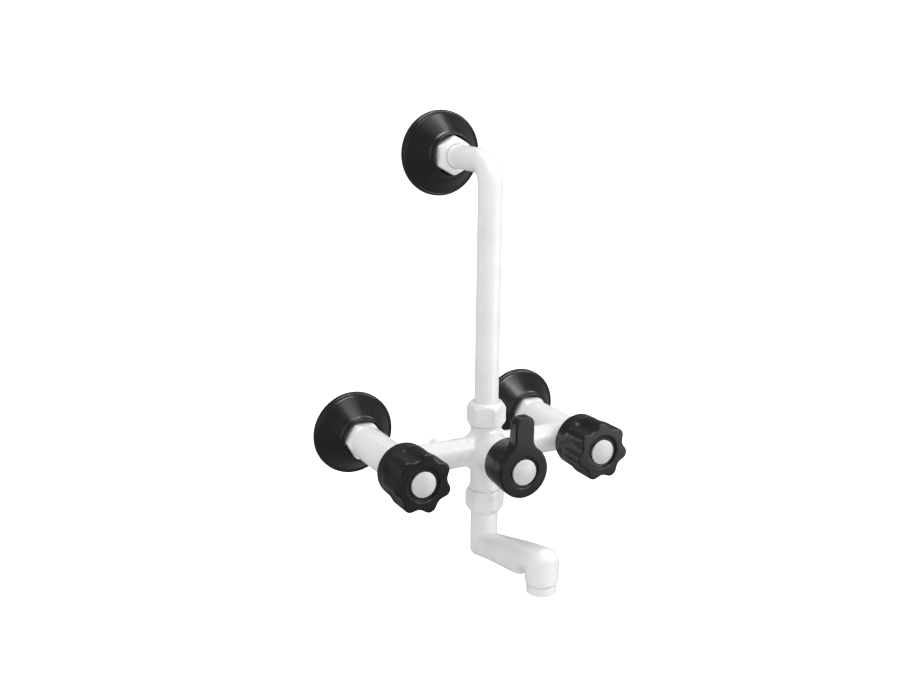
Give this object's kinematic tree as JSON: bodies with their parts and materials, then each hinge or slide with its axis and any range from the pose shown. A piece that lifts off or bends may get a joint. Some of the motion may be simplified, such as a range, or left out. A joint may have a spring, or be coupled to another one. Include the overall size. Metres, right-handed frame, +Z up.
{
  "type": "wall-mounted mixer tap",
  "caption": "Wall-mounted white mixer tap with black lobed knobs, a diverter lever, a swivel spout and a tall riser pipe that bends back to the wall.",
  "frame": {"origin": "In the wall plane (the backs of the wall flanges), midway between the two water inlets.", "axes": "+X along the wall to the right as seen by a user, +Y into the wall, +Z up. The front of the tap faces -Y."},
  "size_m": [0.2154, 0.1886, 0.3369],
  "materials": {
    "white_plastic": "glossy white engineering plastic, moulded",
    "black_plastic": "glossy black moulded plastic",
    "silver_cap": "satin silver disc",
    "brass": "machined",
    "stainless": "machined",
    "rubber": "moulded nitrile rubber",
    "grey_plastic": "matt moulded plastic"
  },
  "bodies": {
    "fixed": {"mixer_body": "white_plastic", "diverter_bonnet": "brass", "diverter_washer": "rubber", "left_bonnet": "brass", "left_bonnet_washer": "rubber", "left_gland_nut": "brass", "left_union_leg": "white_plastic", "left_union_nut": "white_plastic", "left_union_snap_ring": "stainless", "left_union_washer": "rubber", "left_wall_flange": "black_plastic", "right_bonnet": "brass", "right_bonnet_washer": "rubber", "right_gland_nut": "brass", "right_union_leg": "white_plastic", "right_union_nut": "white_plastic", "right_union_snap_ring": "stainless", "right_union_washer": "rubber", "right_wall_flange": "black_plastic", "riser_bottom_collar": "white_plastic", "riser_nut": "white_plastic", "riser_pipe": "white_plastic", "riser_top_collar": "white_plastic", "riser_washer": "rubber", "spout_nut": "white_plastic", "top_nipple": "white_plastic", "top_union_nut": "white_plastic", "top_union_washer": "rubber", "top_wall_flange": "black_plastic"},
    "left_knob": {"left_knob": "black_plastic", "left_knob_cap": "silver_cap", "left_knob_screw": "stainless", "left_spindle": "brass", "left_spindle_ring": "rubber"},
    "left_jumper": {"left_jumper": "brass", "left_seat_washer": "rubber", "left_washer_screw": "stainless"},
    "right_knob": {"right_knob": "black_plastic", "right_knob_cap": "silver_cap", "right_knob_screw": "stainless", "right_spindle": "brass", "right_spindle_ring": "rubber"},
    "right_jumper": {"right_jumper": "brass", "right_seat_washer": "rubber", "right_washer_screw": "stainless"},
    "diverter": {"diverter_rotor": "white_plastic", "diverter_rotor_seal": "rubber", "diverter_rings": "rubber", "diverter_knob": "black_plastic", "diverter_screw": "stainless", "diverter_cap": "silver_cap"},
    "spout": {"spout": "white_plastic", "spout_rings": "rubber", "spout_snap_ring": "stainless", "aerator_ring": "white_plastic", "aerator_insert": "grey_plastic", "aerator_washer": "rubber"}
  },
  "joints": [
    {"name": "left_knob_turn", "type": "hinge", "parent": "fixed", "child": "left_knob", "pos_m": [-0.075, -0.091, 0], "axis": [0, -1, 0], "range_deg": [0, 630]},
    {"name": "left_jumper_slide", "type": "slide", "parent": "fixed", "child": "left_jumper", "axis": [0, -1, 0], "range_m": [0, 0.0044]},
    {"name": "right_knob_turn", "type": "hinge", "parent": "fixed", "child": "right_knob", "pos_m": [0.075, -0.091, 0], "axis": [0, -1, 0], "range_deg": [0, 630]},
    {"name": "right_jumper_slide", "type": "slide", "parent": "fixed", "child": "right_jumper", "axis": [0, -1, 0], "range_m": [0, 0.0044]},
    {"name": "diverter_turn", "type": "hinge", "parent": "fixed", "child": "diverter", "pos_m": [0, -0.11, 0], "axis": [0, -1, 0], "range_deg": [0, 180]},
    {"name": "spout_swivel", "type": "hinge", "parent": "fixed", "child": "spout", "pos_m": [0, -0.08, -0.04], "axis": [0, 0, 1], "range_deg": [-90, 90]}
  ],
  "couplings": [
    {"joint": "left_jumper_slide", "follows": "left_knob_turn", "m_per_rad": 0.00039789},
    {"joint": "right_jumper_slide", "follows": "right_knob_turn", "m_per_rad": 0.00039789}
  ]
}
